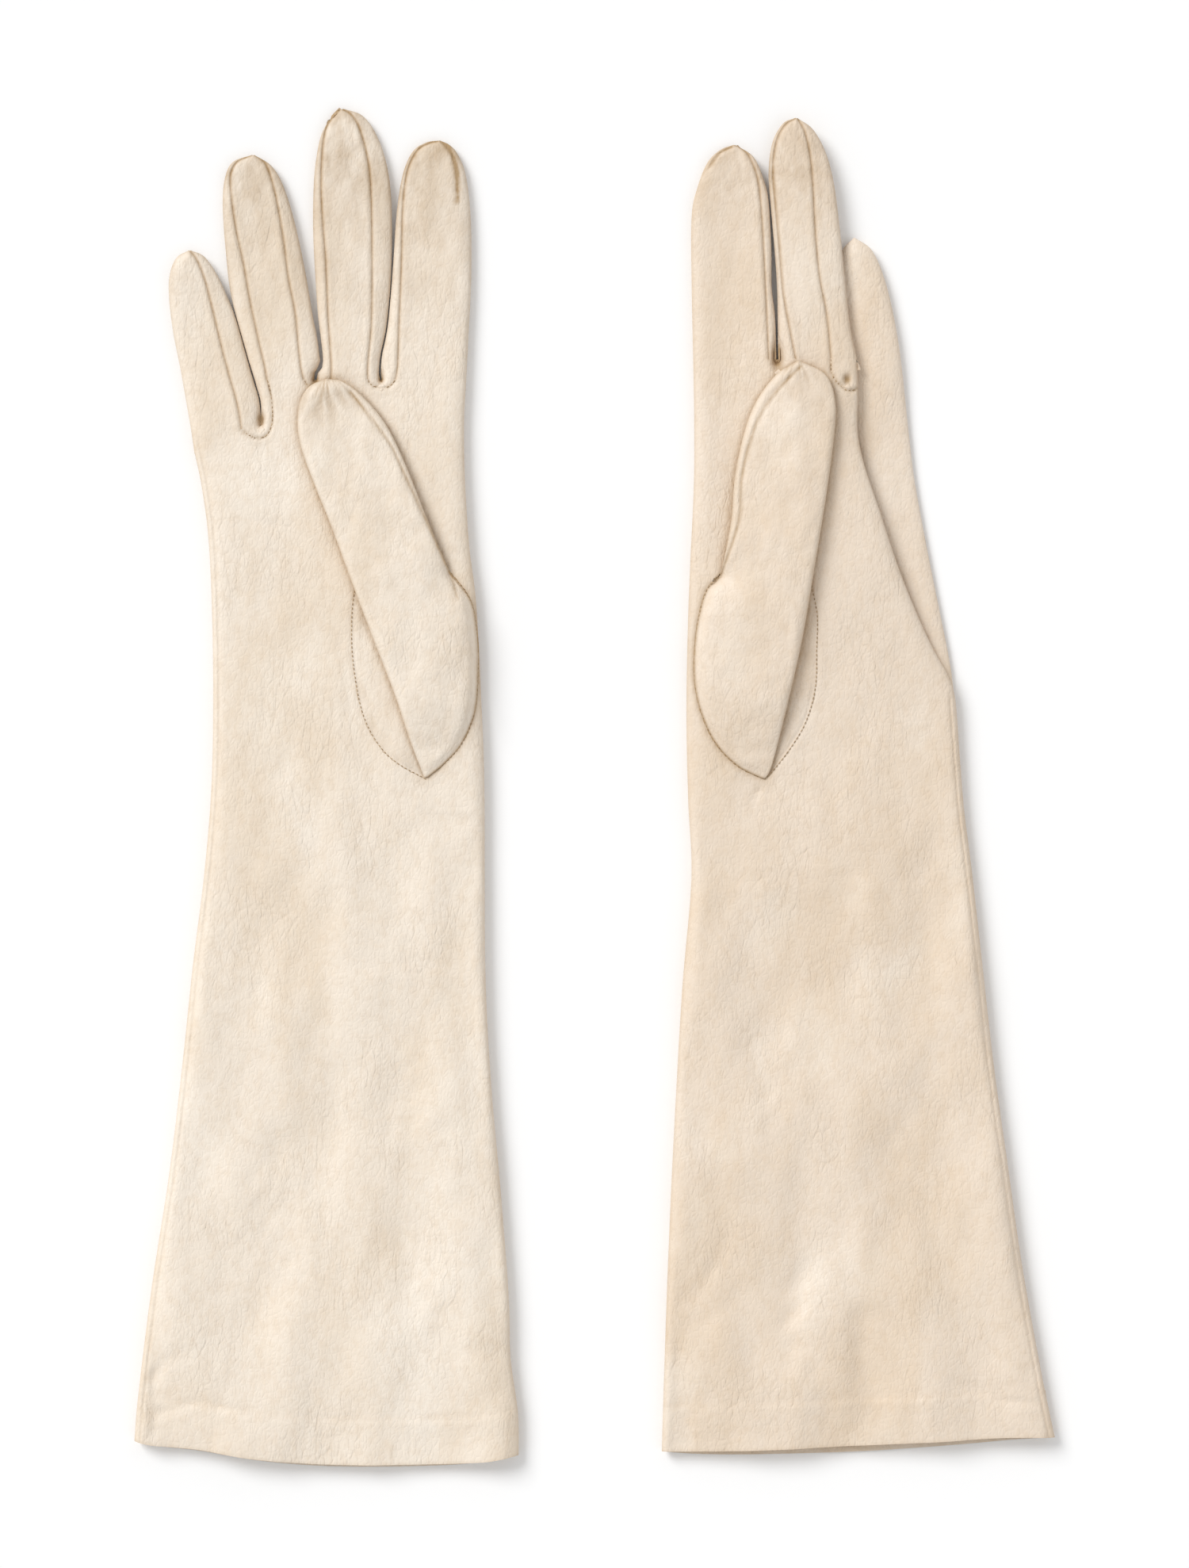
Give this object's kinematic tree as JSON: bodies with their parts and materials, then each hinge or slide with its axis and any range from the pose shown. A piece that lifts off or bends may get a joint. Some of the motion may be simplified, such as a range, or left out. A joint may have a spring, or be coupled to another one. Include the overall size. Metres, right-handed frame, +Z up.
{
  "type": "opera gloves",
  "caption": "Pair of long unlined kid-leather opera gloves, laid flat with palms up, with folding fingers, thumbs and wrists.",
  "frame": {"origin": "middle of the pair's outline, on the surface that the gloves lie on", "axes": "+Y from the cuffs to the fingertips, +Z up, out of the palms, +X from the right-hand glove to the left-hand glove"},
  "size_m": [0.2985, 0.4397, 0.015],
  "materials": {
    "kid_leather_right": "smooth satin kid, cream",
    "kid_leather_left": "smooth satin kid, slightly darker cream",
    "leather_inside": "napped flesh side, cream",
    "thread": "fine tan silk thread"
  },
  "bodies": {
    "palm_r": {"hand_r": "kid_leather_right", "hand_seam_r": "leather_inside", "quirks_r": "kid_leather_right", "thumb_hole_r": "kid_leather_right", "thumb_base_r": "kid_leather_right"},
    "forearm_r": {"sleeve_r": "kid_leather_right", "sleeve_seam_r": "leather_inside", "hem_r": "leather_inside"},
    "thumb_r": {"thumb_tube_r": "kid_leather_right"},
    "index_finger_r": {"index_palm_r": "kid_leather_right", "index_back_r": "kid_leather_right", "index_fourchette_r": "kid_leather_right"},
    "middle_finger_r": {"middle_palm_r": "kid_leather_right", "middle_back_r": "kid_leather_right", "middle_fourchette_a_r": "kid_leather_right", "middle_fourchette_b_r": "kid_leather_right"},
    "ring_finger_r": {"ring_palm_r": "kid_leather_right", "ring_back_r": "kid_leather_right", "ring_fourchette_a_r": "kid_leather_right", "ring_fourchette_b_r": "kid_leather_right"},
    "little_finger_r": {"little_palm_r": "kid_leather_right", "little_back_r": "kid_leather_right", "little_fourchette_r": "kid_leather_right"},
    "palm_l": {"hand_l": "kid_leather_left", "pleat_under_l": "kid_leather_left", "hand_seam_l": "leather_inside", "quirks_l": "kid_leather_left", "thumb_hole_l": "kid_leather_left", "thumb_base_l": "kid_leather_left"},
    "forearm_l": {"sleeve_l": "kid_leather_left", "sleeve_seam_l": "leather_inside", "hem_l": "leather_inside"},
    "thumb_l": {"thumb_tube_l": "kid_leather_left"},
    "index_finger_l": {"index_palm_l": "kid_leather_left", "index_back_l": "kid_leather_left", "index_fourchette_l": "kid_leather_left"},
    "middle_finger_l": {"middle_palm_l": "kid_leather_left", "middle_back_l": "kid_leather_left", "middle_fourchette_a_l": "kid_leather_left", "middle_fourchette_b_l": "kid_leather_left"},
    "ring_finger_l": {"ring_palm_l": "kid_leather_left", "ring_back_l": "kid_leather_left", "ring_fourchette_a_l": "kid_leather_left", "ring_fourchette_b_l": "kid_leather_left"},
    "little_finger_l": {"little_palm_l": "kid_leather_left", "little_back_l": "kid_leather_left", "little_fourchette_l": "kid_leather_left"}
  },
  "joints": [
    {"name": "wrist_fold_r", "type": "hinge", "parent": "palm_r", "child": "forearm_r", "pos_m": [-0.0828, -0.0575, 0.007], "axis": [-1, 0, 0], "range_deg": [0, 110]},
    {"name": "thumb_lift_r", "type": "hinge", "parent": "palm_r", "child": "thumb_r", "pos_m": [-0.057, 0.0494, 0.0123], "axis": [0.9403, 0.3404, 0], "range_deg": [0, 70]},
    {"name": "index_fold_r", "type": "hinge", "parent": "palm_r", "child": "index_finger_r", "pos_m": [-0.0552, 0.132, 0.0046], "axis": [1, 0, 0], "range_deg": [0, 90]},
    {"name": "middle_fold_r", "type": "hinge", "parent": "palm_r", "child": "middle_finger_r", "pos_m": [-0.079, 0.132, 0.0046], "axis": [1, 0, 0], "range_deg": [0, 90]},
    {"name": "ring_fold_r", "type": "hinge", "parent": "palm_r", "child": "ring_finger_r", "pos_m": [-0.1004, 0.132, 0.0046], "axis": [1, 0, 0], "range_deg": [0, 90]},
    {"name": "little_fold_r", "type": "hinge", "parent": "palm_r", "child": "little_finger_r", "pos_m": [-0.1194, 0.112, 0.0046], "axis": [0.9816, 0.1908, 0], "range_deg": [0, 90]},
    {"name": "pair_lift", "type": "slide", "parent": "palm_r", "child": "palm_l", "axis": [0, 0, 1], "range_m": [0, 0.15]},
    {"name": "wrist_fold_l", "type": "hinge", "parent": "palm_l", "child": "forearm_l", "pos_m": [0.0767, -0.0275, 0.0097], "axis": [-0.9984, 0, -0.0558], "range_deg": [0, 110]},
    {"name": "thumb_lift_l", "type": "hinge", "parent": "palm_l", "child": "thumb_l", "pos_m": [0.05058, 0.0507, 0.01341], "axis": [0.9817, -0.1822, 0.0549], "range_deg": [0, 70]},
    {"name": "index_fold_l", "type": "hinge", "parent": "palm_l", "child": "index_finger_l", "pos_m": [0.044, 0.1385, 0.0046], "axis": [0.9999, -0.0122, 0], "range_deg": [0, 90]},
    {"name": "middle_fold_l", "type": "hinge", "parent": "palm_l", "child": "middle_finger_l", "pos_m": [0.0702, 0.1385, 0.0075], "axis": [0.9982, 0.0593, 0], "range_deg": [0, 90]},
    {"name": "ring_fold_l", "type": "hinge", "parent": "palm_l", "child": "ring_finger_l", "pos_m": [0.0702, 0.1385, 0.0075], "axis": [0.9982, 0.0593, 0], "range_deg": [0, 90]},
    {"name": "little_fold_l", "type": "hinge", "parent": "palm_l", "child": "little_finger_l", "pos_m": [0.0957, 0.113, 0.0046], "axis": [0.9885, 0.1513, 0], "range_deg": [0, 90]}
  ],
  "couplings": [
    {"joint": "ring_fold_l", "follows": "middle_fold_l", "ratio": 1}
  ]
}
